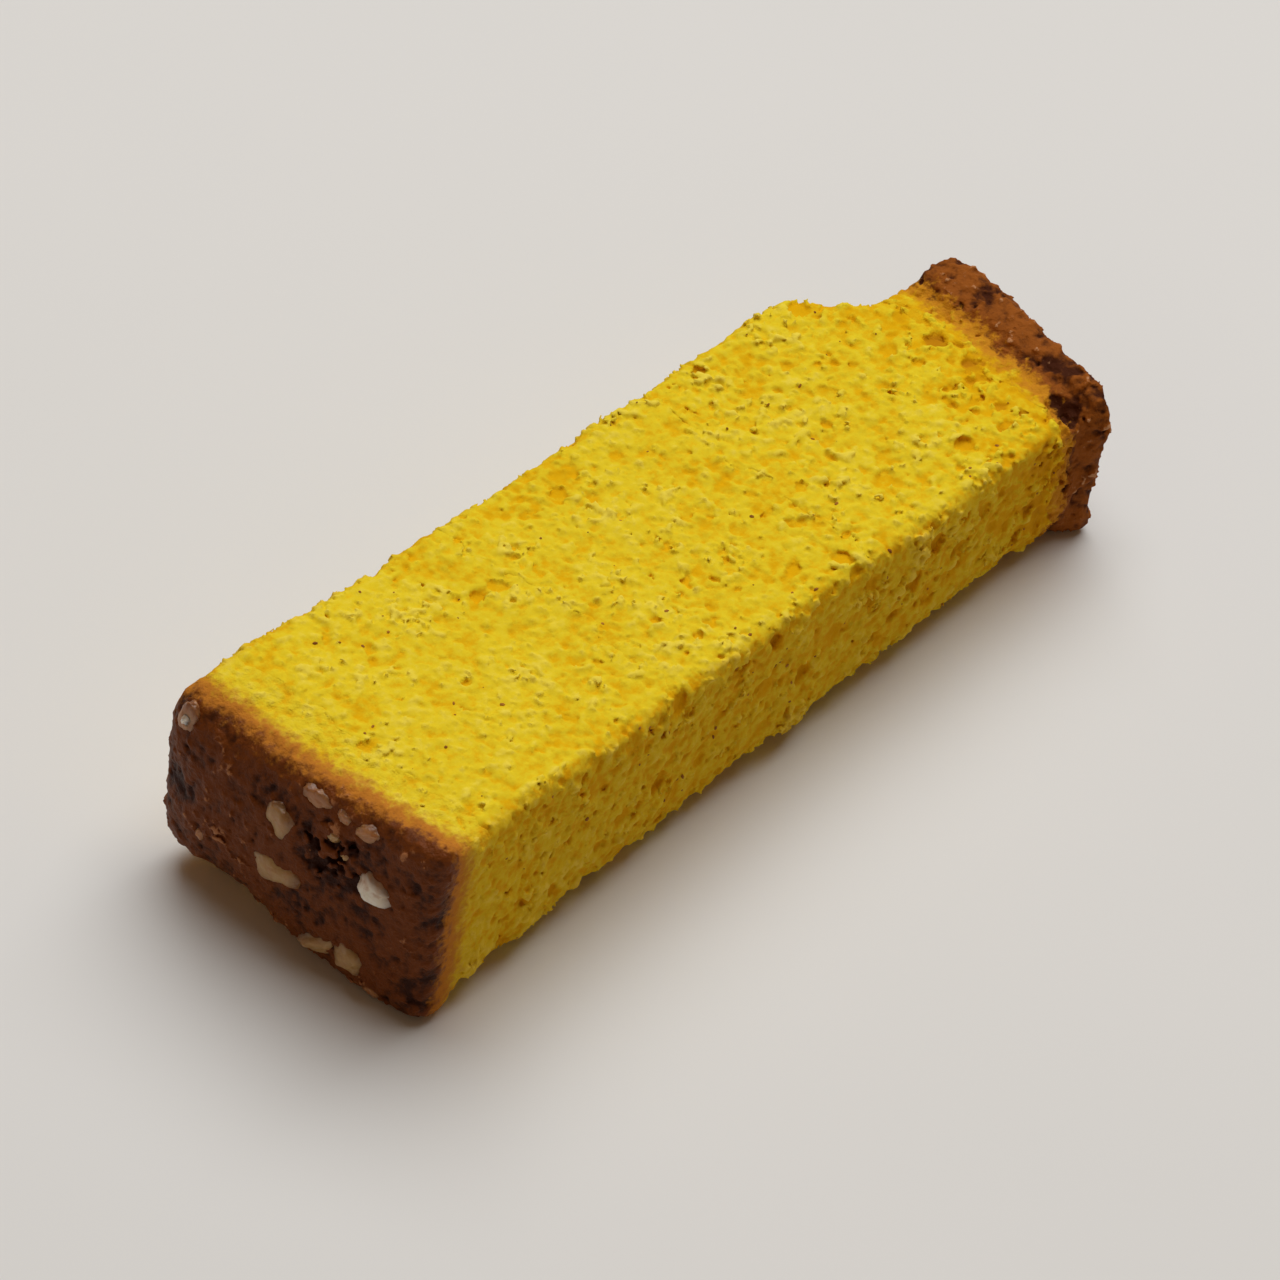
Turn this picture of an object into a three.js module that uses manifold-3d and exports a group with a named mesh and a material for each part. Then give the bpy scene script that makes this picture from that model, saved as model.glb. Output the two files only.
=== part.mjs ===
// One finger of castella, the dense egg sponge that is baked in a deep square frame and cut into sticks.
// The long way of the finger is the height of the cake: the base crust, which the sugar sinks to, is at -X,
// and the browned top crust is at +X. The other four sides are cut or torn crumb, and the finger lies on one.
// Its crusts are looks of the one solid: the base crust is a rounded pillow, and the top crust is a dry cap
// that stands proud of the shrunken crumb, with one corner torn off.

import * as THREE from "three";
import { mergeVertices } from "three/addons/utils/BufferGeometryUtils.js";
import Module from "manifold-3d";

// Driving dimensions, in millimetres.
const LENGTH = 66.5; // outside of the base crust to outside of the top crust, along the +Y side
const BASE_WIDTH = 20.8; // across the finger at the base crust
const BASE_HEIGHT = 14.8; // up the finger at the base crust
const TOP_WIDTH = 20; // the same two at the top crust, where the finger was cut thinner
const TOP_HEIGHT = 10.9;

// Crusts.
const BASE_ROUND = { right: 1.2, left: 3.0 }; // radius from its face to the cut sides, at -Y and at +Y
const BASE_BULGE = 0.7; // how far the middle of the base crust stands out
const BASE_PROUD = 1; // how far its rim stands out past the crumb at +Y
const BASE_THICK = 2.6; // the base crust, along the finger
const BASE_FADE = 0.8; // half the length over which that rim dies out
const BASE_CORNERS = 0.7; // share of the rim that its corners lack
const BASE_SLANT = 1.2; // how much shorter the finger is at -Y than at +Y, at its base crust
const BASE_LIFT = 1.3; // how far the lower edge of the base crust curls up on the +Y side
const LIFT_ALONG = 6; // and how far along the finger it does
const LIFT_ACROSS = { start: -0.3, full: 0.5 }; // shares of the half width where the curl starts and is full
const CAP_THICK = 4; // the top crust, along the finger
const CAP_PROUD = 0.8; // how far its rim stands out from the cut sides
const CAP_ROUND = 1.1;
const CAP_BULGE = 1.1;
const CAP_SLANT = 2.9; // how much shorter the finger is at -Y than at +Y, at its top crust
const CAP_WANDER = 0.5; // how far the line between cap and crumb strays along the finger
const CAP_RIPPLE = 0.35; // share by which the rim of the cap rises and falls
const CAP_STEP = { before: 0.3, after: 0.9 }; // where it rises from the crumb, either side of its start
const CAP_WRINKLE = 0.22; // depth of the wrinkles in its outer face
const CAP_FLAT = 0.35; // share by which the bulge falls off to its upper and lower edges
const CREASE = 0.35; // depth of the crease where the cap joins the crumb
const CREASE_SPREAD = 1.3; // half the width of that crease
const END_SHARE = 0.1; // share of the length over which the shape of each end face fades into the finger

// Cut sides.
const EDGE_ROUND = 0.9; // the long upper edges, rubbed soft
const FOOT_ROUND = 3; // the long lower edges, which have crumbled away between the two crusts
const FOOT_FADE = { base: 3, cap: 1.5 }; // length over which they do, from each crust
const WAIST = 0.35; // how far the cut sides hollow in halfway along
const WAVE = 0.16; // height of the long waves on a cut side
const WAVE_PITCH = { side: 13, top: 15 };
const RAGGED = 0.42; // depth of the nibbled lower edges
const RAGGED_PITCH = 3.7;

// The corner that tore off with a flake of the top crust.
const TEAR_ALONG = 13; // how far down the finger it reaches
const TEAR_ACROSS = 4.7; // and how far across
const TEAR_RUN = 7; // the part of its length over which it slants in from the side
const TEAR_LEAN = 9; // degrees that the torn face leans out towards its foot
const TEAR_ROUGH = 0.4; // height of the waves on it
const TEAR_SPARE = 2; // how far the tearing block reaches past the finger

// Rows of facets along, across and up the finger, and how far they crowd to its edges.
const ROWS = { along: 46, across: 14, up: 10 };
const TEAR_ROWS = { along: 20, up: 16 };
const CROWD_ALONG = 0.62;
const CROWD_SECTION = 0.55;

const TAU = 2 * Math.PI;
const { lerp, smoothstep, degToRad } = THREE.MathUtils;

// A slow, uneven ripple between about -1 and 1, from three waves that never fall in step.
function ripple(s, t, phase) {
  const first = Math.sin(TAU * (s + 0.31 * t) + phase);
  const second = Math.sin(TAU * (0.618 * t - 0.47 * s) + 2.1 * phase);
  const third = Math.sin(TAU * (1.73 * s + 1.19 * t) + 3.7 * phase);
  return (first + second + 0.6 * third) / 2.2;
}

// Share 0 to 1 of the way between two ends, with the rows crowded to both.
const crowded = (share, crowd) => share - (crowd * Math.sin(TAU * share)) / TAU;

// How far the outline has drawn in, a distance s from the end of a solid whose end is rounded with radius r.
const endInset = (s, r) => (s < r ? r - Math.sqrt(r * r - (r - s) * (r - s)) : 0);

// Turns the square corners of a section, measured from its middle, to round ones of radius r.
function roundCorner(u, v, halfU, halfV, r) {
  const innerU = THREE.MathUtils.clamp(u, r - halfU, halfU - r);
  const innerV = THREE.MathUtils.clamp(v, r - halfV, halfV - r);
  const du = u - innerU;
  const dv = v - innerV;
  const reach = Math.hypot(du, dv);
  if (reach === 0) return [u, v];
  const scale = Math.max(Math.abs(du), Math.abs(dv)) / reach;
  return [innerU + du * scale, innerV + dv * scale];
}

// How far the top crust stands out from the cut sides: nothing on the crumb, and less than that in the crease.
function capRim(x, across, up) {
  const start = LENGTH - CAP_THICK + CAP_WANDER * ripple(across * 0.9, up * 0.7, 1);
  const crease = Math.exp(-(((x - start) / CREASE_SPREAD) ** 2));
  const proud = CAP_PROUD * (1 + CAP_RIPPLE * ripple(across * 1.3, up * 1.2, 6));
  return proud * smoothstep(x, start - CAP_STEP.before, start + CAP_STEP.after) - CREASE * crease;
}

// How far the base crust stands out on the +Y side, like the edge of a cushion.
function baseRim(x, across, up) {
  const rim = 1 - smoothstep(x, BASE_THICK - BASE_FADE, BASE_THICK + BASE_FADE);
  return BASE_PROUD * rim * smoothstep(across, 0, 1) * (1 - BASE_CORNERS * (2 * up - 1) ** 4);
}

// Radius of the long lower edges at x: small on the crusts, which are tough, and large on the crumb.
function footRound(x) {
  const afterBase = smoothstep(x, BASE_THICK, BASE_THICK + FOOT_FADE.base);
  const beforeCap = smoothstep(LENGTH - x, CAP_THICK, CAP_THICK + FOOT_FADE.cap);
  return lerp(EDGE_ROUND, FOOT_ROUND, afterBase * beforeCap);
}

// How far the underside curls up at x.
function baseLift(x, across) {
  const curled = smoothstep(across, LIFT_ACROSS.start, LIFT_ACROSS.full);
  return BASE_LIFT * curled * (1 - smoothstep(x, 0, LIFT_ALONG));
}

// Width and height of the finger at x, before its surface is roughened.
function section(x, across, up) {
  const share = x / LENGTH;
  const waist = WAIST * Math.sin(Math.PI * share);
  const baseRound = lerp(BASE_ROUND.right, BASE_ROUND.left, (across + 1) / 2);
  const inset = endInset(x, baseRound) + endInset(LENGTH - x, CAP_ROUND);
  const proud = capRim(x, across, up) - waist - inset;
  return {
    halfWidth: lerp(BASE_WIDTH, TOP_WIDTH, share) / 2 + proud + baseRim(x, across, up),
    top: lerp(BASE_HEIGHT, TOP_HEIGHT, share) + proud,
    foot: inset + baseLift(x, across),
  };
}

// A point of the finger from its shares along (0 to 1), across (-1 to 1) and up (0 to 1).
function fingerPoint(along, across, up) {
  const x = along * LENGTH;
  const { halfWidth, top, foot } = section(x, across, up);
  const middle = (top + foot) / 2;
  const halfHeight = (top - foot) / 2;
  const square = [across * halfWidth, (2 * up - 1) * halfHeight];
  let [y, z] = roundCorner(...square, halfWidth, halfHeight, up < 0.5 ? footRound(x) : EDGE_ROUND);

  // Long waves on the three free sides, and a nibbled edge where the sides meet the underside.
  const side = across ** 4;
  const lift = up ** 2;
  y += WAVE * side * ripple(x / WAVE_PITCH.side, up, 1 + across);
  z += WAVE * lift * ripple(x / WAVE_PITCH.top, across / 3, 4);
  const nibble = RAGGED * (0.5 + 0.5 * ripple(x / RAGGED_PITCH, across / 2, 2));
  y -= Math.sign(across) * nibble * side * (1 - up) ** 3;

  // Both end faces swell out in the middle, and the cap out to its long edges too. The cap is wrinkled.
  const swell = (1 - across ** 2) * (1 - (2 * up - 1) ** 2);
  const capSwell = (1 - across ** 2) * (1 - CAP_FLAT * (2 * up - 1) ** 2);
  const capShare = smoothstep(along, 1 - END_SHARE, 1);
  const baseShare = 1 - smoothstep(along, 0, END_SHARE);
  const wrinkle = CAP_WRINKLE * ripple(across * 1.4, up * 1.1, 5);
  const capBow = CAP_BULGE * capSwell + wrinkle + (CAP_SLANT * (across - 1)) / 2;
  const baseBow = BASE_BULGE * swell + (BASE_SLANT * (across - 1)) / 2;
  const bowed = capBow * capShare - baseBow * baseShare;
  return new THREE.Vector3(x + bowed, y, z + middle);
}

// The whole finger before the tear, as a box whose rows are moved to their places.
function wholeFinger() {
  const grid = new THREE.BoxGeometry(1, 1, 1, ROWS.along, ROWS.across, ROWS.up);
  const place = grid.getAttribute("position");
  for (let i = 0; i < place.count; i++) {
    const along = crowded(place.getX(i) + 0.5, CROWD_ALONG);
    const across = 2 * crowded(place.getY(i) + 0.5, CROWD_SECTION) - 1;
    const up = crowded(place.getZ(i) + 0.5, CROWD_SECTION);
    place.setXYZ(i, ...fingerPoint(along, across, up));
  }
  return grid;
}

// A block over the +X +Y corner, whose rough front is the torn face: it slants in from the side, then runs
// on to the top crust.
function tearBlock() {
  const length = TEAR_ALONG + 2 * TEAR_SPARE;
  const height = 2 * TOP_HEIGHT;
  const start = LENGTH - TEAR_ALONG;
  const back = TOP_WIDTH;
  const block = new THREE.BoxGeometry(length, 1, height, TEAR_ROWS.along, 1, TEAR_ROWS.up);
  const place = block.getAttribute("position");
  for (let i = 0; i < place.count; i++) {
    const x = start + length / 2 - TEAR_SPARE + place.getX(i);
    const z = TOP_HEIGHT / 2 + place.getZ(i);
    const into = (TEAR_ACROSS + TEAR_SPARE) * smoothstep(x, start - TEAR_SPARE, start + TEAR_RUN);
    const lean = Math.tan(degToRad(TEAR_LEAN)) * (TOP_HEIGHT - z);
    const face = TOP_WIDTH / 2 + TEAR_SPARE - into + lean + TEAR_ROUGH * ripple(x / 6, z / 7, 3);
    place.setXYZ(i, x, place.getY(i) > 0 ? back : face, z);
  }
  return block;
}

// A closed three.js geometry as a manifold-3d solid, and back.
function solidOf(wasm, geometry) {
  const bare = geometry.clone();
  bare.deleteAttribute("normal");
  bare.deleteAttribute("uv");
  const merged = mergeVertices(bare);
  const vertProperties = merged.getAttribute("position").array;
  const triVerts = new Uint32Array(merged.index.array);
  return new wasm.Manifold(new wasm.Mesh({ numProp: 3, vertProperties, triVerts }));
}

function geometryOf(solid) {
  const { vertProperties, triVerts } = solid.getMesh();
  const geometry = new THREE.BufferGeometry();
  geometry.setAttribute("position", new THREE.BufferAttribute(vertProperties, 3));
  geometry.setIndex(new THREE.BufferAttribute(triVerts, 1));
  return geometry;
}

// Puts a geometry's lowest point on z = 0, and the middle of its length and width on the Z axis.
function standAtOrigin(geometry) {
  geometry.computeBoundingBox();
  const { min, max } = geometry.boundingBox;
  geometry.translate(-(min.x + max.x) / 2, -(min.y + max.y) / 2, -min.z);
  geometry.computeVertexNormals();
  return geometry;
}

const wasm = await Module();
wasm.setup();

const torn = solidOf(wasm, wholeFinger()).subtract(solidOf(wasm, tearBlock()));
const sponge = new THREE.MeshStandardMaterial({ color: 0xe0b81e, roughness: 0.9, metalness: 0 });
const finger = new THREE.Mesh(standAtOrigin(geometryOf(torn)), sponge);
finger.name = "castella_finger";

const part = new THREE.Group();
part.add(finger);

export default part;
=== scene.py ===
"""One finger of castella, the dense egg sponge that is baked in a deep frame and cut into sticks."""
import math
import random

import bmesh
import bpy
from mathutils import Euler, Matrix, Vector, noise


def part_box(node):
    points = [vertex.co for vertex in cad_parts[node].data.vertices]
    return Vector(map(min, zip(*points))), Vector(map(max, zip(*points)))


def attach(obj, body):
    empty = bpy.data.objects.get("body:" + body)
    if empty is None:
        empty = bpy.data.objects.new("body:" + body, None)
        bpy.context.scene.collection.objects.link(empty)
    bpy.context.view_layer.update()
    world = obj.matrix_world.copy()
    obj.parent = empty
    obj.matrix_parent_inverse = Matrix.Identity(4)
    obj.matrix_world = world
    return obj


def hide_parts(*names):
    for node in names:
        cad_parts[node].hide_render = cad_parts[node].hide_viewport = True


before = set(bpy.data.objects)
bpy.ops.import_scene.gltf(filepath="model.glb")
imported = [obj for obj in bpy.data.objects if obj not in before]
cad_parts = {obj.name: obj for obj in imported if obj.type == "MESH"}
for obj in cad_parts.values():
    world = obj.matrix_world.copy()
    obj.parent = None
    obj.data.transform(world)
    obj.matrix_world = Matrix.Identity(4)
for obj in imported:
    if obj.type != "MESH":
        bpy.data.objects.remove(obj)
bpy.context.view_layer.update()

MM = 0.001


# ---- The baked form -------------------------------------------------------------------------------------
# The finger as the knife left it: a stick of sponge, pulled in a little at the waist, with a rounded base
# crust at one end and, at the other, a dry top crust that has lost a corner. The pieces below grow on it,
# so its flat facets are melted into one even skin first.

FORM_CELL = 0.45 * MM
FORM_SMOOTHING = 4
WELD_GAP = 0.001 * MM


def plain_copy(source, name):
    """What the modifiers of an object make, as a plain mesh object of its own."""
    bpy.context.view_layer.update()
    made = source.evaluated_get(bpy.context.evaluated_depsgraph_get())
    mesh = bpy.data.meshes.new_from_object(made)
    mesh.name = name
    copy = bpy.data.objects.new(name, mesh)
    bpy.context.scene.collection.objects.link(copy)
    return copy


def mesh_object(name, built):
    """A linked object with the mesh of a bmesh, which is freed."""
    mesh = bpy.data.meshes.new(name)
    built.to_mesh(mesh)
    built.free()
    thing = bpy.data.objects.new(name, mesh)
    bpy.context.scene.collection.objects.link(thing)
    return thing


def melted_form():
    """The finger of the frame with its facets melted together."""
    merged = bmesh.new()
    merged.from_mesh(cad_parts["castella_finger"].data)
    bmesh.ops.remove_doubles(merged, verts=merged.verts, dist=WELD_GAP)
    faceted = mesh_object("faceted_form", merged)
    even = faceted.modifiers.new("even cells", "REMESH")
    even.mode = "VOXEL"
    even.voxel_size = FORM_CELL
    even.use_smooth_shade = True
    melt = faceted.modifiers.new("melt", "SMOOTH")
    melt.factor = 0.5
    melt.iterations = FORM_SMOOTHING
    form = plain_copy(faceted, "form")
    bpy.data.objects.remove(faceted)
    return form


form = melted_form()
low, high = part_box("castella_finger")
BASE_END = low.x / MM
TOP_END = high.x / MM
HALF_WIDTH = high.y / MM
BASE_SLANT = 1.2
BASE_BULGE = 0.7
CAP_SLANT = 2.9
CAP_BULGE = 1.1


# ---- Crumb ----------------------------------------------------------------------------------------------
# The cut sides of the sponge: a foam of egg yolk, sugar and flour, set in the oven. A long knife has opened
# its bubbles and left the walls between them standing as pale, dry crumbs, finer towards the base crust.

class Wire:
    """A socket of a node tree. Python's operators on it add Math nodes."""

    def __init__(self, tree, owner, socket):
        self.tree = tree
        self.owner = owner
        self.socket = socket

    def __getitem__(self, name):
        return Wire(self.tree, self.owner, find_socket(self.owner.outputs, name))

    def math(self, operation, *others):
        return self.tree.node("ShaderNodeMath", {"operation": operation}, dict(enumerate((self, *others))))

    def __add__(self, other):
        return self.math("ADD", other)

    def __sub__(self, other):
        return self.math("SUBTRACT", other)

    def __mul__(self, other):
        return self.math("MULTIPLY", other)

    def __truediv__(self, other):
        return self.math("DIVIDE", other)

    def __pow__(self, other):
        return self.math("POWER", other)

    def __rsub__(self, other):
        return self.tree.node("ShaderNodeMath", {"operation": "SUBTRACT"}, {0: other, 1: self})

    __radd__ = __add__
    __rmul__ = __mul__

    def least(self, other, soft=0.0):
        return self.math("SMOOTH_MIN", other, soft)

    def most(self, other, soft=0.0):
        return self.math("SMOOTH_MAX", other, soft)

    def rise(self, start, end):
        """0 up to start, 1 from end on, and a smooth rise between them."""
        sockets = {"Value": self, "From Min": start, "From Max": end}
        return self.tree.node("ShaderNodeMapRange", {"interpolation_type": "SMOOTHSTEP"}, sockets)

    def fall(self, start, end):
        """1 up to start, 0 from end on, and a smooth fall between them."""
        return 1 - self.rise(start, end)


def find_socket(sockets, name):
    """The socket at that index, or the one in use whose identifier or name is given."""
    if isinstance(name, int):
        return sockets[name]
    return next(socket for socket in sockets if socket.enabled and name in (socket.identifier, socket.name))


class Tree:
    """A node tree. Every node in it comes from node()."""

    def __init__(self, node_tree):
        self.node_tree = node_tree
        node_tree.nodes.clear()

    def node(self, kind, settings=None, sockets=None):
        """Adds a node, makes its settings and then its sockets, and gives its first output."""
        made = self.node_tree.nodes.new(kind)
        for name, setting in (settings or {}).items():
            setattr(made, name, setting)
        for name, value in (sockets or {}).items():
            socket = find_socket(made.inputs, name)
            if isinstance(value, Wire):
                self.node_tree.links.new(value.socket, socket)
            else:
                socket.default_value = value
        outputs = [socket for socket in made.outputs if socket.enabled]
        return Wire(self, made, outputs[0] if outputs else None)

    def vector(self, operation, *values):
        return self.node("ShaderNodeVectorMath", {"operation": operation}, dict(enumerate(values)))

    def noise(self, place, size, detail=2.0, roughness=0.5, distortion=0.0):
        """Uneven lumps of about that size, from 0 to 1 about a middle of 0.5."""
        sockets = {"Vector": place, "Scale": 1.0 / size, "Detail": detail}
        sockets.update({"Roughness": roughness, "Distortion": distortion})
        return self.node("ShaderNodeTexNoise", {"noise_dimensions": "3D"}, sockets)

    def cells(self, place, size):
        """Cells of about that size: the distance to the nearest middle, and a colour for each cell."""
        return self.node("ShaderNodeTexVoronoi", {"feature": "F1"}, {"Vector": place, "Scale": 1.0 / size})

    def blend(self, share, first, second):
        """A number or a colour that turns from the first into the second as share goes from 0 to 1."""
        plain = isinstance(first, (int, float)) or isinstance(second, (int, float))
        ending = "Float" if plain else "Color"
        sockets = {"Factor_Float": share}
        for key, value in (("A", first), ("B", second)):
            sockets[f"{key}_{ending}"] = (*value, 1.0) if isinstance(value, tuple) else value
        return self.node("ShaderNodeMix", {"data_type": "FLOAT" if plain else "RGBA"}, sockets)


def depths(tree, place):
    """How far a place in millimetres is from the outer face of the base crust, and of the top crust. Both
    faces are slanted, with their shorter side at -Y, and both are bowed out in the middle."""
    apart = tree.node("ShaderNodeSeparateXYZ", {}, {"Vector": place})
    across = apart["Y"] / HALF_WIDTH
    shorter = (1 - across) / 2
    bow = 1 - across * across
    base_face = BASE_END + BASE_BULGE + shorter * BASE_SLANT - bow * BASE_BULGE
    top_face = TOP_END - shorter * CAP_SLANT + bow * CAP_BULGE
    return apart["X"] - base_face, top_face - apart["X"]


# Heights and depths of the relief, in millimetres: of the soft lumps of the crumb, of the wrinkles of the
# base crust, of the blisters of the top crust, and of the bites out of the long lower edges, which reach
# some way up the sides.
LUMP_HEIGHT = 0.36
WRINKLE_HEIGHT = 0.9
BLISTER_HEIGHT = 1.5
NIBBLE_DEPTH = 5.0
NIBBLE_TOP = 3.4

# The pitted patch of the base crust, and the hollow under the corner of the top crust.
PITTED_PLACE = (BASE_END + 0.5, -2.9, 10.6)
PITTED_REACH = 3.2
PIT_DEPTH = 4.5
HOLLOW_PLACE = (TOP_END - 5.4, -8.4, 12.2)
HOLLOW_REACH = (1.0, 1.9, 1.5)
HOLLOW_SHAPE = tuple(1.0 / reach for reach in HOLLOW_REACH)

# Bubbles by the inputs that scale them: how far apart, how wide and how deep they are, how much wider and
# deeper the largest, and how soft their edges.
BUBBLES = {
    "Coarse bubbles": {
        "apart": 1.50, "width": 0.00, "wider": 0.72, "depth": 0.10, "deeper": 0.42, "soft": 0.28,
    },
    "Fine bubbles": {
        "apart": 0.66, "width": 0.10, "wider": 0.28, "depth": 0.10, "deeper": 0.28, "soft": 0.12,
    },
}

# Share of its crumbs and bubbles that the sponge keeps where it is closed.
CLOSED_SHARE = 0.35

# Neighbouring pieces meet along an uneven line. Where a piece starts, it dips under the one before it.
JOIN_WANDER = 3.6
JOIN_PITCH = 2.4
JOIN_DIP = 0.45


def sponge_tree():
    """Geometry nodes that grow sponge on the form, from one place along the finger to another."""
    group = bpy.data.node_groups.new("baked sponge", "GeometryNodeTree")
    group.interface.new_socket("Form", in_out="INPUT", socket_type="NodeSocketGeometry")
    for name in ("From", "To", "Cell", "Coarse bubbles", "Fine bubbles", "Crumbs", "Waves"):
        group.interface.new_socket(name, in_out="INPUT", socket_type="NodeSocketFloat")
    group.interface.new_socket("Material", in_out="INPUT", socket_type="NodeSocketMaterial")
    group.interface.new_socket("Sponge", in_out="OUTPUT", socket_type="NodeSocketGeometry")
    t = Tree(group)
    given = t.node("NodeGroupInput")
    place = t.node("ShaderNodeVectorMath", {"operation": "SCALE"},
                   {0: t.node("GeometryNodeInputPosition"), "Scale": 1.0 / MM})
    at = t.node("ShaderNodeSeparateXYZ", {}, {"Vector": place})
    base_depth, top_depth = depths(t, place)

    # How deep a place is inside the form, in millimetres, and less than nothing outside it.
    here = t.node("GeometryNodeInputPosition")
    near = t.node("GeometryNodeProximity", {"target_element": "FACES"}, {"Geometry": given["Form"]})
    facing = t.node("GeometryNodeSampleNearestSurface", {"data_type": "FLOAT_VECTOR"},
                    {"Mesh": given["Form"], "Value": t.node("GeometryNodeInputNormal")})
    from_face = t.vector("SUBTRACT", here, near["Position"])
    side = t.vector("DOT_PRODUCT", from_face, facing)["Value"].math("SIGN")
    depth = side * near["Distance"] * (-1.0 / MM)

    # The sponge is open in the middle of the finger, and closes towards its crusts.
    openness = base_depth.rise(0.6, 5.0) * top_depth.rise(2.6, 5.0)
    base_skin = base_depth.fall(0.9, 2.0)
    top_skin = top_depth.fall(2.6, 4.0)
    opened = CLOSED_SHARE + (1.0 - CLOSED_SHARE) * openness

    # The knife leaves long waves, soft lumps, and crumbs that stand up or are pulled out. The base crust has
    # dried into wrinkles, and the top crust has risen in blisters.
    waves = (t.noise(place, size=3.6) - 0.5) * given["Waves"]
    lumps = (t.noise(place, size=1.2, detail=1.0) - 0.5) * LUMP_HEIGHT
    crumbs = (t.noise(place, size=0.6, roughness=0.6) - 0.5) * given["Crumbs"] + lumps
    wrinkled = t.noise(place, size=0.8, detail=3.0, roughness=0.65, distortion=0.3)
    blistered = t.noise(place, size=1.2, detail=4.0, roughness=0.7, distortion=0.4)
    wrinkles = (wrinkled - 0.5) * WRINKLE_HEIGHT * base_skin
    blisters = (blistered - 0.5) * BLISTER_HEIGHT * top_skin

    # The long lower edges have crumbled, and one patch of the base crust is pitted.
    bitten = t.noise(place, size=1.5, detail=4.0, roughness=0.65)
    nibbles = (bitten - 0.45) * NIBBLE_DEPTH * at["Z"].fall(0.4, NIBBLE_TOP) * openness
    pitted = t.vector("DISTANCE", place, PITTED_PLACE)["Value"].fall(1.0, PITTED_REACH)
    pits = (t.noise(place, size=0.75, roughness=0.6) - 0.46).most(0.0, 0.05) * PIT_DEPTH * pitted
    skin = depth + waves + crumbs * opened + wrinkles + blisters - nibbles.most(0.0, 0.2) - pits

    # Bubbles that the knife or the oven has opened. They are shallow dents, which run into each other, and
    # they are wider and deeper towards the top crust and on the long sides.
    bend = t.node("ShaderNodeTexNoise", {}, {"Vector": place, "Scale": 1.6, "Detail": 3.0})["Color"]
    bent = t.vector("MULTIPLY_ADD", bend, (1.2, 1.2, 1.2), place)
    torn = at["Y"].math("ABSOLUTE").rise(HALF_WIDTH - 2.6, HALF_WIDTH - 0.9)
    coarser = 0.75 + 0.25 * base_depth.rise(5.0, 32.0) + 0.35 * top_depth.fall(5.0, 14.0) + 0.30 * torn
    scale = opened * coarser
    for name, bubble in BUBBLES.items():
        cell = t.cells(bent, bubble["apart"])
        chance = t.node("ShaderNodeSeparateXYZ", {}, {"Vector": cell["Color"]})
        width = (bubble["width"] + chance["X"] ** 2.0 * bubble["wider"]) * scale
        dip = (bubble["depth"] + chance["Y"] ** 3.0 * bubble["deeper"]) * given[name] * scale
        hole = cell["Distance"] * bubble["apart"] - width
        skin = skin.least(hole.most(depth - dip, bubble["soft"]), bubble["soft"])

    # Gaps where the walls themselves have torn, in patches.
    gaps = (0.52 - t.noise(bent, size=0.62, roughness=0.6)) * 1.4
    gap_depth = (0.04 + 0.14 * t.noise(place, size=2.0, detail=1.0).rise(0.35, 0.75)) * scale
    skin = skin.least(gaps.most(depth - gap_depth, 0.12), 0.14)

    # Under the corner of the top crust the sponge has shrunk away and left a hollow.
    from_hollow = t.vector("MULTIPLY", t.vector("SUBTRACT", bent, HOLLOW_PLACE), HOLLOW_SHAPE)
    hollow = t.vector("LENGTH", from_hollow)["Value"] - 1.0
    skin = skin.least(hollow, 0.2)

    # It starts and ends at its neighbours, and it lies flat on its underside.
    along = at["X"] + (t.noise(place, JOIN_PITCH) - 0.5) * JOIN_WANDER
    skin = skin - JOIN_DIP * (along - given["From"]).fall(0.40, 0.80)
    cut = skin.least(along - given["From"]).least(given["To"] - along).least(at["Z"])

    # The block of cells that the sponge is made in, a little larger than the form.
    box = t.node("GeometryNodeBoundBox", {}, {"Geometry": given["Form"]})
    low_corner = t.node("ShaderNodeSeparateXYZ", {}, {"Vector": box["Min"]})
    high_corner = t.node("ShaderNodeSeparateXYZ", {}, {"Vector": box["Max"]})
    spare = 1.0 * MM
    reach = JOIN_WANDER / 2 * MM
    starts = {"X": given["From"] * MM - reach, "Y": low_corner["Y"] - spare, "Z": low_corner["Z"] - spare}
    ends = {"X": given["To"] * MM + reach, "Y": high_corner["Y"] + spare, "Z": high_corner["Z"] + spare}
    block = {f"Resolution {axis}": (ends[axis] - starts[axis]) / (given["Cell"] * MM) for axis in starts}
    block["Min"] = t.node("ShaderNodeCombineXYZ", {}, starts)
    block["Max"] = t.node("ShaderNodeCombineXYZ", {}, ends)
    volume = t.node("GeometryNodeVolumeCube", {}, {"Density": cut, "Background": -1.0, **block})
    mesh = t.node("GeometryNodeVolumeToMesh", {"resolution_mode": "GRID"},
                  {"Volume": volume, "Threshold": 0.0})

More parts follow.
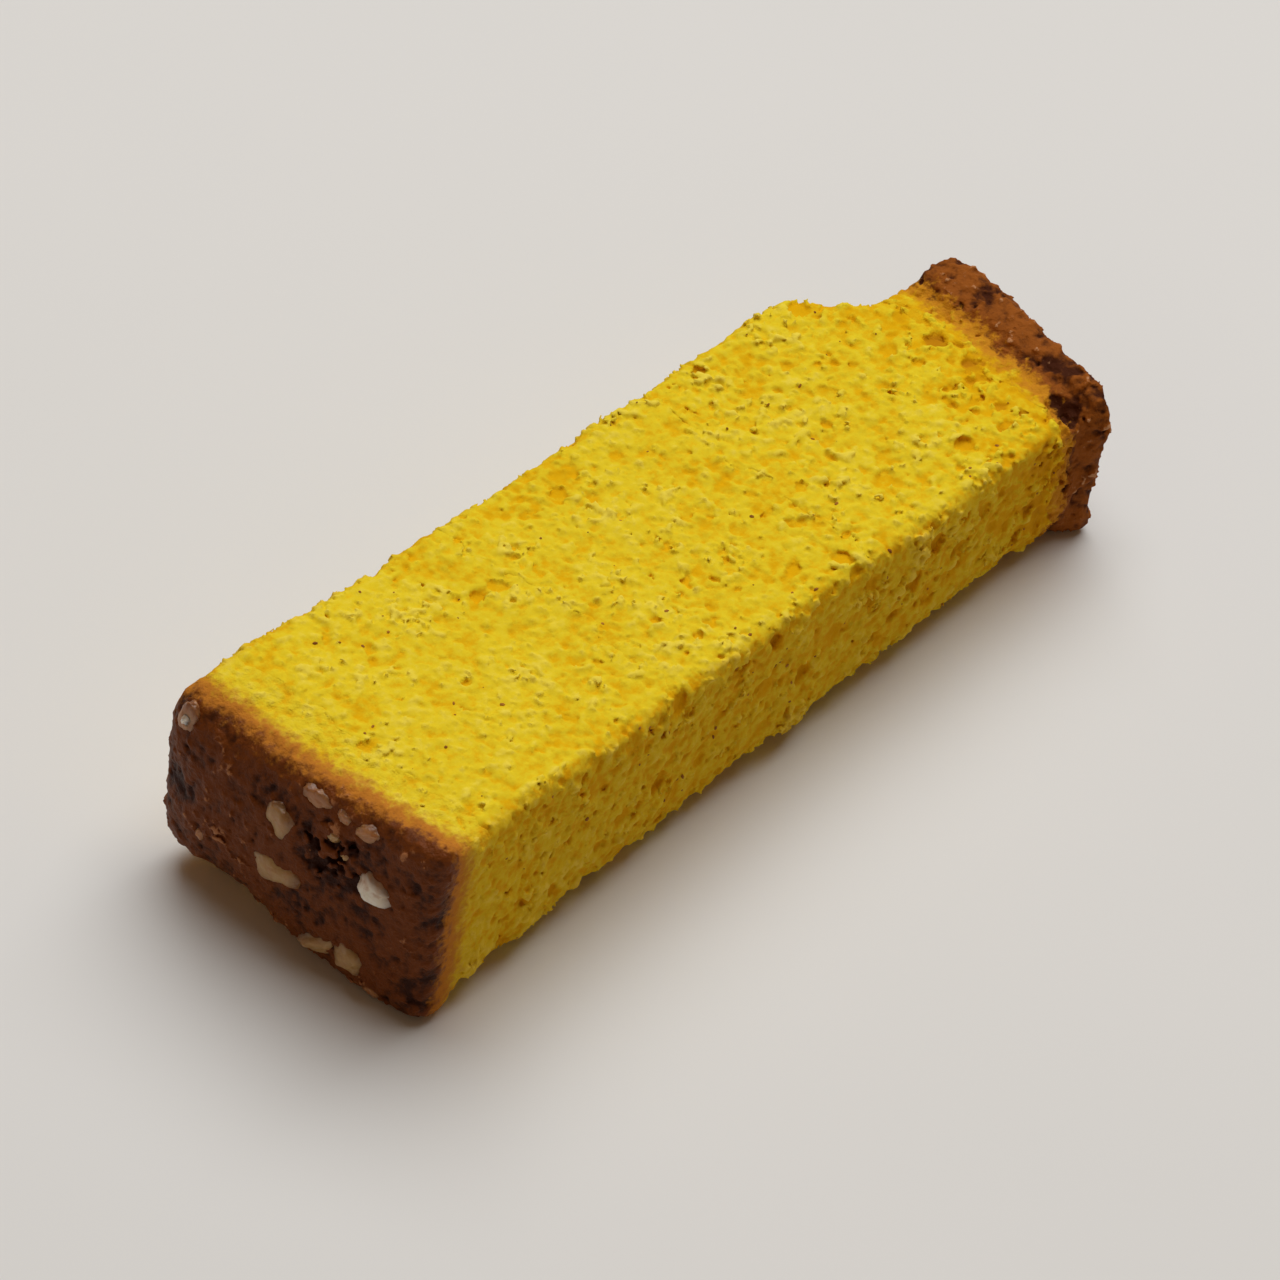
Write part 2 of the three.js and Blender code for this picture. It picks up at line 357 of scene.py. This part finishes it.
    # Bubbles shut inside the sponge are dropped: only the largest shell, its outside, is kept.
    island = t.node("GeometryNodeInputMeshIsland")["Island Index"]
    total = t.node("GeometryNodeAccumulateField", {"data_type": "INT", "domain": "POINT"},
                   {"Value": 1, "Group ID": island})["Total"]
    most = t.node("GeometryNodeAttributeStatistic", {"domain": "POINT"},
                  {"Geometry": mesh, "Attribute": total})["Max"]
    stray = t.node("FunctionNodeCompare", {"data_type": "FLOAT", "operation": "LESS_THAN"},
                   {"A": total, "B": most - 0.5})
    outside = t.node("GeometryNodeDeleteGeometry", {"domain": "POINT"},
                     {"Geometry": mesh, "Selection": stray})
    marked = t.node("GeometryNodeStoreNamedAttribute", {"data_type": "FLOAT", "domain": "POINT"},
                    {"Geometry": outside, "Name": "depth", "Value": depth})
    smooth = t.node("GeometryNodeSetShadeSmooth", {}, {"Geometry": marked})
    real = t.node("GeometryNodeRealizeInstances", {}, {"Geometry": smooth})
    coloured = t.node("GeometryNodeSetMaterial", {}, {"Geometry": real, "Material": given["Material"]})
    t.node("NodeGroupOutput", {}, {"Sponge": coloured})
    return group


def with_inputs(thing, group, inputs):
    """A geometry nodes modifier on the thing, with its named inputs set."""
    modifier = thing.modifiers.new(group.name, "NODES")
    identifiers = {item.name: item.identifier for item in group.interface.items_tree}
    modifier.node_group = group
    for name, value in inputs.items():
        modifier[identifiers[name]] = value
    return modifier


def grow(name, most_triangles, inputs):
    """One piece of sponge, grown on the form and thinned where it is smooth until it is light enough."""
    grower = with_inputs(form, sponge, inputs)
    piece = plain_copy(form, name)
    form.modifiers.remove(grower)
    triangles = sum(len(face.vertices) - 2 for face in piece.data.polygons)
    if triangles > most_triangles:
        thin = piece.modifiers.new("thin", "DECIMATE")
        thin.ratio = most_triangles / triangles
        thinned = plain_copy(piece, name)
        bpy.data.objects.remove(piece)
        thinned.name = name
        piece = thinned
    return piece


sponge = sponge_tree()


# Colours of the crumb, from pale walls to rich ones and from orange pores to dark ones. The turn from one to
# the next follows depth into the sponge: painted shade in the bubbles, mixed with random tone.
PALE_WALL = (0.87, 0.695, 0.075)
RICH_WALL_SHADE = (0.80, 0.61, 0.020)
PORE_SHADE = (0.76, 0.42, 0.002)
DEEP_PORE_SHADE = (0.48, 0.19, 0.004)
# Painted shade: the tint that turns the long sides a deeper gold.
SIDE_SHADE_TINT = (0.94, 0.84, 0.80)


def crumb_look(tree, place):
    """Colour and relief of open crumb: pale walls and a richer yellow in the bubbles, as random tone and as
    painted shade that darkens with depth, and painted shade on the long sides, which tints them a deeper,
    more golden tone."""
    depth = tree.node("ShaderNodeAttribute", {"attribute_name": "depth"})["Fac"]
    grain = tree.noise(place, size=0.62, detail=4.0, roughness=0.65)
    mottle = tree.noise(place, size=2.2, detail=3.0, roughness=0.6)
    near_top = depths(tree, place)[1].fall(5.0, 14.0)
    beside = tree.node("ShaderNodeSeparateXYZ", {}, {"Vector": place})["Y"].math("ABSOLUTE")
    # Painted shade: the long sides are tinted a deeper, more golden tone and speckled more strongly,
    # standing in for the golden shade on them.
    painted_side_shade = beside.rise(HALF_WIDTH - 1.9, HALF_WIDTH - 1.1)
    speckled = (grain - 0.5) * (0.62 + 0.50 * painted_side_shade)
    # Painted shade mixed with random tone: deeper places turn richer, and the grain and mottle vary it.
    shade_and_tone = (depth + speckled + (mottle - 0.5) * 0.36 + 0.10 * near_top).rise(-0.32, 0.42)
    wall_shade_and_tone = tree.blend(shade_and_tone.rise(0.0, 0.55), PALE_WALL, RICH_WALL_SHADE)
    # Painted shade: the pores turn darker and more orange the deeper they lie.
    pore_shade = tree.blend((depth + 0.25 * near_top).rise(0.35, 0.8), PORE_SHADE, DEEP_PORE_SHADE)
    colour = tree.blend(shade_and_tone.rise(0.5, 1.0), wall_shade_and_tone, pore_shade)
    colour = tree.node("ShaderNodeMix", {"data_type": "RGBA", "blend_type": "MULTIPLY"},
                       {"Factor_Float": painted_side_shade, "A_Color": colour, "B_Color": (*SIDE_SHADE_TINT, 1.0)})
    fine_grain = tree.noise(place, size=0.16, roughness=0.6)
    relief = grain * 0.6 + fine_grain * 0.4
    return colour, relief


def finish_sponge(tree, colour, roughness, relief, relief_height, shine):
    """The shader that all sponge has: rough, with a fine grain and a little shine."""
    bump = tree.node("ShaderNodeBump", {},
                     {"Height": relief, "Distance": relief_height * MM, "Strength": 1.0})
    shader = tree.node("ShaderNodeBsdfPrincipled", {}, {
        "Base Color": colour, "Roughness": roughness, "Normal": bump, "Specular IOR Level": shine,
    })
    tree.node("ShaderNodeOutputMaterial", {}, {"Surface": shader})


def place_in_mm(tree):
    """Where a point of a piece is, in millimetres."""
    return tree.node("ShaderNodeVectorMath", {"operation": "SCALE"},
                     {0: tree.node("ShaderNodeTexCoord")["Object"], "Scale": 1.0 / MM})


def new_material(name):
    """A new material and its node tree, which is empty."""
    material = bpy.data.materials.new(name)
    material.use_nodes = True
    return material, Tree(material.node_tree)


crumb_material, tree = new_material("open crumb")
place = place_in_mm(tree)
colour, relief = crumb_look(tree, place)
finish_sponge(tree, colour, roughness=0.9, relief=relief, relief_height=0.08, shine=0.06)

BASE_SEAM = BASE_END + 5.0
CAP_SEAM = TOP_END - 8.0
SEAM_OVERLAP = 1.0
OPEN_SPONGE = {"Coarse bubbles": 1.0, "Fine bubbles": 1.0, "Crumbs": 0.75, "Waves": 0.8}
CRUMB_LENGTHS = 3
crumb_lengths = []
for index in range(CRUMB_LENGTHS):
    start = BASE_SEAM + (CAP_SEAM - BASE_SEAM) * index / CRUMB_LENGTHS
    end = BASE_SEAM + (CAP_SEAM - BASE_SEAM) * (index + 1) / CRUMB_LENGTHS + SEAM_OVERLAP
    crumb = grow(f"sponge_crumb_{index + 1}", most_triangles=195000, inputs={
        "From": start, "To": end, "Cell": 0.15, "Material": crumb_material, **OPEN_SPONGE,
    })
    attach(crumb, "root")
    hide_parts("castella_finger")
    crumb_lengths.append(crumb)


# ---- Base crust -----------------------------------------------------------------------------------------
# The end that stood in the bottom of the frame: a tender, moist brown skin, wrinkled like leather, with the
# sponge above it stained orange. Its syrup has left it a little glossy.

def stained(tree, colour, crust, distance, skin_ends, stain_ends, sponge_starts, stain):
    """The colour of the crumb, of the stained sponge under a crust or of the crust itself, by the distance
    from its face."""
    under = tree.blend(distance.rise(skin_ends, stain_ends), crust, stain)
    return tree.blend(distance.rise(stain_ends, sponge_starts), under, colour)


def crust_look(tree, place, char_and_pit_shade, brown, glint):
    """The mottled colour of a crust: brown, charred in dark random mottles, with painted shade in its pits,
    and a painted highlight on top of its wrinkles.
    """
    depth = tree.node("ShaderNodeAttribute", {"attribute_name": "depth"})["Fac"]
    mottle = tree.noise(place, size=0.9, detail=4.0, roughness=0.65)
    grain = tree.noise(place, size=0.32, detail=3.0, roughness=0.65)
    # Painted shade mixed with dark mottles: the deeper a place lies in the crust's pits, the nearer it turns
    # to the char colour.
    low = (depth.rise(-0.15, 0.40) * 0.8 + mottle * 0.8 + grain * 0.5).rise(0.78, 1.30)
    # Painted highlight: paler, pinkish glints on the raised bumps, scattered by the grain and mottle.
    high = (depth.fall(-0.35, 0.05) * 0.6 + grain + mottle * 0.4).rise(0.87, 1.12)
    return tree.blend(high, tree.blend(low, brown, char_and_pit_shade), glint)


base_material, tree = new_material("base crust")
place = place_in_mm(tree)
colour, relief = crumb_look(tree, place)
base_depth, _ = depths(tree, place)
# The char colour is also painted shade in the pits, and the glint colour is a painted highlight.
crust = crust_look(tree, place,
                   char_and_pit_shade=(0.036, 0.008, 0.002), brown=(0.17, 0.042, 0.005), glint=(0.42, 0.17, 0.065))
runs = tree.noise(place, size=1.8, detail=4.0, roughness=0.62)
frays = tree.noise(place, size=0.45, detail=3.0, roughness=0.6)
blurred = base_depth + (runs - 0.5) * 1.6 + (frays - 0.5) * 1.6
colour = stained(tree, colour, crust, blurred,
                 skin_ends=0.7, stain_ends=1.7, sponge_starts=3.4, stain=(0.52, 0.19, 0.020))
roughness = tree.blend(blurred.rise(0.9, 1.8), 0.5, 0.9)
finish_sponge(tree, colour, roughness, relief, relief_height=0.18, shine=0.12)
base_crust = grow("base_crust", most_triangles=120000, inputs={
    "From": BASE_END - 2.0, "To": BASE_SEAM + SEAM_OVERLAP, "Cell": 0.14,
    "Material": base_material, **OPEN_SPONGE,
})
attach(base_crust, "root")


# ---- Coarse sugar ---------------------------------------------------------------------------------------
# Grains of coarse sugar that sank through the batter and half melted into the base crust. The ones that
# stayed whole are milky white, and the others have taken up the brown of the crust.

class Grain:
    """One grain: where its middle is on the face, its size along, up and out of the face, and its colour."""

    def __init__(self, across, up, size, turn, colour):
        self.across = across
        self.up = up
        self.size = size
        self.turn = turn
        self.colour = colour


MILKY, AMBER, CARAMEL = (0.90, 0.84, 0.72), (0.46, 0.28, 0.10), (0.46, 0.20, 0.065)
GRAINS = [
    Grain(8.9, 12.7, (1.5, 2.6, 1.0), 12.0, CARAMEL),
    Grain(8.7, 12.9, (0.7, 1.1, 2.2), 20.0, MILKY),
    Grain(1.0, 10.4, (2.2, 2.7, 1.5), 0.0, AMBER),
    Grain(0.7, 6.8, (3.6, 2.1, 1.6), -8.0, AMBER),
    Grain(-6.0, 9.6, (3.0, 2.2, 2.2), 12.0, MILKY),
    Grain(-2.6, 2.5, (3.8, 1.5, 2.0), -28.0, AMBER),
    Grain(-4.8, 2.9, (2.3, 2.5, 2.0), 10.0, AMBER),
    Grain(-6.3, 0.9, (1.4, 1.0, 1.1), 0.0, CARAMEL),
    Grain(-2.7, 11.7, (0.9, 1.0, 0.9), 40.0, AMBER),
    Grain(-3.8, 10.8, (0.7, 0.6, 0.8), 10.0, AMBER),
    Grain(-1.2, 13.4, (2.4, 1.3, 1.2), 5.0, CARAMEL),
    Grain(-3.2, 13.3, (1.2, 1.0, 1.0), 30.0, CARAMEL),
    Grain(-4.9, 13.3, (1.9, 1.1, 1.2), -15.0, CARAMEL),
    Grain(6.6, 5.2, (0.8, 0.9, 0.7), 35.0, CARAMEL),
]
STAIN = (0.16, 0.055, 0.014)
RIM_STAIN = 0.85
SQUARENESS = 2.7
GRAIN_LUMPS = 0.22
GRAIN_CHIPS = 0.10
SUNK = 0.36
LEAN = 0.2
FLOOR_GAP = 0.02 * MM


def grain_corner(direction, size, seed):
    """A point of a worn crystal: a rounded block with uneven faces."""
    flat = sum(abs(part) ** SQUARENESS for part in direction) ** (-1.0 / SQUARENESS)
    apart = Vector((seed * 7.3, 0.0, 0.0))
    lump = noise.noise(direction * 1.6 + apart)
    chip = noise.noise(direction * 4.0 - apart)
    uneven = 1.0 + GRAIN_LUMPS * lump + GRAIN_CHIPS * chip
    return Vector(part * extent / 2 for part, extent in zip(direction, size)) * flat * uneven


def sugar_grains():
    """All the grains, each sunk into the base crust by a share of its thickness, and darker at its rim."""
    built = bmesh.new()
    tint = built.verts.layers.float_color.new("tint")
    tilts = random.Random(5)
    for seed, grain in enumerate(GRAINS):
        across, up = grain.across * MM, grain.up * MM
        _, hit, _, _ = base_crust.ray_cast(Vector((low.x - 5 * MM, across, up)), Vector((1.0, 0.0, 0.0)))
        lean = Euler((tilts.uniform(-LEAN, LEAN), tilts.uniform(-LEAN, LEAN), math.radians(grain.turn)))
        face_axes = Matrix(((0, 0, -1), (1, 0, 0), (0, 1, 0)))
        made = bmesh.ops.create_icosphere(built, subdivisions=4, radius=1.0)
        for corner in made["verts"]:
            point = grain_corner(corner.co.normalized(), grain.size, seed)
            out = Vector(2 * part / extent for part, extent in zip(point.xy, grain.size)).length
            rim = min(1.0, out) ** 4
            point.rotate(lean)
            corner.co = hit + face_axes @ (point * MM) + Vector((SUNK * grain.size[2] * MM, 0.0, 0.0))
            corner.co.z = max(corner.co.z, FLOOR_GAP)
            corner[tint] = (*Vector(grain.colour).lerp(Vector(STAIN), RIM_STAIN * rim), 1.0)
    for face in built.faces:
        face.smooth = True
    return mesh_object("coarse_sugar", built)


bpy.context.view_layer.update()
sugar = sugar_grains()
sugar_material, tree = new_material("half melted sugar")
place = place_in_mm(tree)
tint = tree.node("ShaderNodeAttribute", {"attribute_name": "tint"})["Color"]
syrup = tree.noise(place, size=0.8, detail=3.0, roughness=0.6)
colour = tree.blend(syrup.rise(0.42, 0.75) * 0.7, tint, (0.42, 0.20, 0.07))
frost = tree.noise(place, size=0.25, roughness=0.6)
bump = tree.node("ShaderNodeBump", {}, {"Height": frost, "Distance": 0.06 * MM, "Strength": 1.0})
shader = tree.node("ShaderNodeBsdfPrincipled", {"subsurface_method": "RANDOM_WALK"}, {
    "Base Color": colour, "Roughness": 0.25 + frost * 0.3, "Normal": bump, "IOR": 1.54,
    "Subsurface Weight": 0.8, "Subsurface Scale": 0.8 * MM, "Subsurface Radius": (1.0, 0.9, 0.7),
})
tree.node("ShaderNodeOutputMaterial", {}, {"Surface": shader})
sugar.data.materials.append(sugar_material)
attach(sugar, "root")


# ---- Top crust ------------------------------------------------------------------------------------------
# The top of the cake, browned by the heat of the oven: a dry skin, blistered and brittle, that broke into
# ragged edges under the knife and that stands proud of the sponge.

cap_material, tree = new_material("top crust")
place = place_in_mm(tree)
colour, relief = crumb_look(tree, place)
_, top_depth = depths(tree, place)
# The char colour is also painted shade in the pits, and the glint colour is a painted highlight.
crust = crust_look(tree, place,
                   char_and_pit_shade=(0.060, 0.015, 0.005), brown=(0.31, 0.090, 0.012), glint=(0.56, 0.28, 0.13))
runs = tree.noise(place, size=1.9, detail=4.0, roughness=0.66)
frays = tree.noise(place, size=0.5, detail=3.0, roughness=0.6)
blurred = top_depth + (runs - 0.5) * 3.2 + (frays - 0.5) * 2.6
colour = stained(tree, colour, crust, blurred,
                 skin_ends=3.4, stain_ends=4.2, sponge_starts=5.6, stain=(0.60, 0.25, 0.014))
finish_sponge(tree, colour, roughness=0.75, relief=relief, relief_height=0.18, shine=0.06)
top_crust = grow("top_crust", most_triangles=180000, inputs={
    "From": CAP_SEAM, "To": TOP_END + 2.0, "Cell": 0.14, "Material": cap_material, **OPEN_SPONGE,
})
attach(top_crust, "root")
bpy.data.objects.remove(form)


# ---- Crust specks ---------------------------------------------------------------------------------------
# Dark crumbs that the knife rubbed off the crusts and carried over the cut sides. They lie half sunk in the
# open sponge, mostly as single flecks.

def speck_tree():
    """Geometry nodes that scatter flecks over a surface."""
    group = bpy.data.node_groups.new("crust specks", "GeometryNodeTree")
    group.interface.new_socket("Surface", in_out="INPUT", socket_type="NodeSocketGeometry")
    for name in ("Per square millimetre", "Smallest", "Largest"):
        group.interface.new_socket(name, in_out="INPUT", socket_type="NodeSocketFloat")
    group.interface.new_socket("Seed", in_out="INPUT", socket_type="NodeSocketInt")
    group.interface.new_socket("Material", in_out="INPUT", socket_type="NodeSocketMaterial")
    group.interface.new_socket("Specks", in_out="OUTPUT", socket_type="NodeSocketGeometry")
    t = Tree(group)
    given = t.node("NodeGroupInput")
    place = t.node("ShaderNodeVectorMath", {"operation": "SCALE"},
                   {0: t.node("GeometryNodeInputPosition"), "Scale": 1.0 / MM})
    patches = t.noise(place, size=6.0, detail=1.0).rise(0.35, 0.70)
    above = t.node("ShaderNodeSeparateXYZ", {}, {"Vector": place})["Z"].rise(0.5, 0.6)
    density = given["Per square millimetre"] * (1.0 / (MM * MM)) * (0.2 + 0.8 * patches) * above
    points = t.node("GeometryNodeDistributePointsOnFaces", {},
                    {"Mesh": given["Surface"], "Density": density, "Seed": given["Seed"]})
    flake = t.node("GeometryNodeMeshIcoSphere", {}, {"Radius": 1.0, "Subdivisions": 1})["Mesh"]
    width = t.node("FunctionNodeRandomValue", {"data_type": "FLOAT"},
                   {"Min": given["Smallest"], "Max": given["Largest"], "Seed": given["Seed"] + 1})
    shape = t.node("FunctionNodeRandomValue", {"data_type": "FLOAT_VECTOR"},
                   {"Min": (0.6, 0.6, 0.35), "Max": (1.4, 1.0, 0.7), "Seed": given["Seed"] + 2})
    scale = t.node("ShaderNodeVectorMath", {"operation": "SCALE"}, {0: shape, "Scale": width * (0.5 * MM)})
    spin = t.node("FunctionNodeRandomValue", {"data_type": "FLOAT"},
                  {"Min": 0.0, "Max": 2.0 * math.pi, "Seed": given["Seed"] + 3})
    turn = t.node("FunctionNodeRotateRotation", {"rotation_space": "LOCAL"}, {
        "Rotation": points["Rotation"],
        "Rotate By": t.node("FunctionNodeAxisAngleToRotation", {}, {"Axis": (0.0, 0.0, 1.0), "Angle": spin}),
    })
    placed = t.node("GeometryNodeInstanceOnPoints", {},
                    {"Points": points["Points"], "Instance": flake, "Rotation": turn, "Scale": scale})
    real = t.node("GeometryNodeRealizeInstances", {}, {"Geometry": placed})
    coloured = t.node("GeometryNodeSetMaterial", {}, {"Geometry": real, "Material": given["Material"]})
    t.node("NodeGroupOutput", {}, {"Specks": coloured})
    return group


speck_material, tree = new_material("crust specks")
place = place_in_mm(tree)
tone = tree.noise(place, size=0.9)
colour = tree.blend(tone.rise(0.35, 0.65), (0.24, 0.080, 0.010), (0.48, 0.21, 0.020))
grit = tree.noise(place, size=0.08)
roughness = 0.6 + tree.noise(place, size=0.2) * 0.3
bump = tree.node("ShaderNodeBump", {}, {"Height": grit, "Distance": 0.03 * MM, "Strength": 1.0})
shader = tree.node("ShaderNodeBsdfPrincipled", {}, {
    "Base Color": colour, "Roughness": roughness, "Normal": bump, "Specular IOR Level": 0.2,
})
tree.node("ShaderNodeOutputMaterial", {}, {"Surface": shader})

joined = bmesh.new()
for length in crumb_lengths:
    joined.from_mesh(length.data)
cut_sides = mesh_object("cut_sides", joined)
with_inputs(cut_sides, speck_tree(), {
    "Per square millimetre": 0.09, "Smallest": 0.12, "Largest": 0.32, "Seed": 4, "Material": speck_material,
})
specks = plain_copy(cut_sides, "crust_specks")
bpy.data.objects.remove(cut_sides)
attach(specks, "root")


# ---- Studio ---------------------------------------------------------------------------------------------
# A pale floor in a warm, dim room, a large soft window behind and above, and a weak light at the base crust.

floor_mesh = bmesh.new()
bmesh.ops.create_grid(floor_mesh, x_segments=8, y_segments=8, size=1.5)
floor = mesh_object("floor", floor_mesh)
floor_material, tree = new_material("pale floor")
place = place_in_mm(tree)
tone = tree.blend(tree.noise(place, size=40.0, detail=3.0), (0.72, 0.73, 0.725), (0.75, 0.755, 0.75))
shader = tree.node("ShaderNodeBsdfPrincipled", {}, {"Base Color": tone, "Roughness": 0.6})
tree.node("ShaderNodeOutputMaterial", {}, {"Surface": shader})
floor.data.materials.append(floor_material)


def softbox(name, azimuth, elevation, distance, size, watts, colour):
    """A square soft light that looks at the middle of the finger from that side."""
    light = bpy.data.lights.new(name, "AREA")
    light.size = size
    light.energy = watts
    light.color = colour
    lamp = bpy.data.objects.new(name, light)
    bpy.context.scene.collection.objects.link(lamp)
    lamp.location = outward(azimuth, elevation) * distance
    lamp.rotation_euler = lamp.location.to_track_quat("Z", "Y").to_euler()


def outward(azimuth, elevation):
    """The direction from the finger to a viewer at that azimuth and elevation; azimuth 0 is at -Y."""
    around, up = math.radians(azimuth), math.radians(elevation)
    return Vector((math.sin(around) * math.cos(up), -math.cos(around) * math.cos(up), math.sin(up)))


softbox("window", azimuth=120.0, elevation=66.0, distance=0.9, size=0.9, watts=8.5, colour=(0.98, 1.0, 1.0))
softbox("room", azimuth=-80.0, elevation=35.0, distance=0.9, size=0.6, watts=0.12, colour=(1.0, 0.86, 0.7))
world = bpy.data.worlds.new("room")
bpy.context.scene.world = world
world.use_nodes = True
world.node_tree.nodes["Background"].inputs["Color"].default_value = (1.0, 0.60, 0.32, 1.0)
world.node_tree.nodes["Background"].inputs["Strength"].default_value = 0.15
bpy.context.scene.view_settings.view_transform = "Standard"

CAMERA_AIM = Vector((-1.0 * MM, 0.0, 0.28 * high.z))
CAMERA_AZIMUTH = -54.5
CAMERA_ELEVATION = 45.0
CAMERA_ROLL = 8.2
CAMERA_DISTANCE = 0.714
CAMERA_VIEW = 0.0772
lens = bpy.data.cameras.new("camera")
lens.sensor_width = 36.0
lens.lens = lens.sensor_width * CAMERA_DISTANCE / CAMERA_VIEW
camera = bpy.data.objects.new("camera", lens)
bpy.context.scene.collection.objects.link(camera)
away = outward(CAMERA_AZIMUTH, CAMERA_ELEVATION)
turn = away.to_track_quat("Z", "Y").to_matrix() @ Matrix.Rotation(math.radians(CAMERA_ROLL), 3, "Z")
camera.matrix_world = Matrix.Translation(CAMERA_AIM + away * CAMERA_DISTANCE) @ turn.to_4x4()
bpy.context.scene.camera = camera
